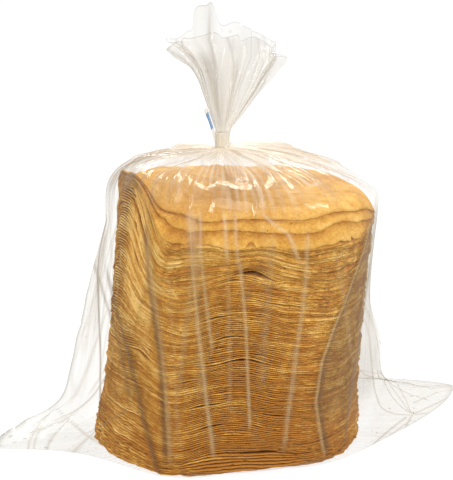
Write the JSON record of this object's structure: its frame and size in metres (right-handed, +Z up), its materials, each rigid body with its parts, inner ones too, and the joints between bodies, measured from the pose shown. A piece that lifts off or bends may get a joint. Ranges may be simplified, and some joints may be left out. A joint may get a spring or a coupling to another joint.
{
  "type": "bag of corn tortillas",
  "caption": "Tall leaning stack of thin round corn tortillas in a clear bag, gathered to a taped neck with an open pleated mouth.",
  "frame": {"origin": "centre of the bag's bounding box, on the surface it stands on", "axes": "+Z up, +X along the flat width of the bag towards its longer bottom corner"},
  "size_m": [0.317, 0.1691, 0.2619],
  "materials": {
    "clear_film": "clear crumpled polyethylene film",
    "tape": "glossy pale tape with one plain blue field",
    "tortilla": "dry golden corn crumb with small dark specks"
  },
  "bodies": {
    "root": {"filled_bag": "clear_film", "neck_tape": "tape"}
  },
  "joints": []
}
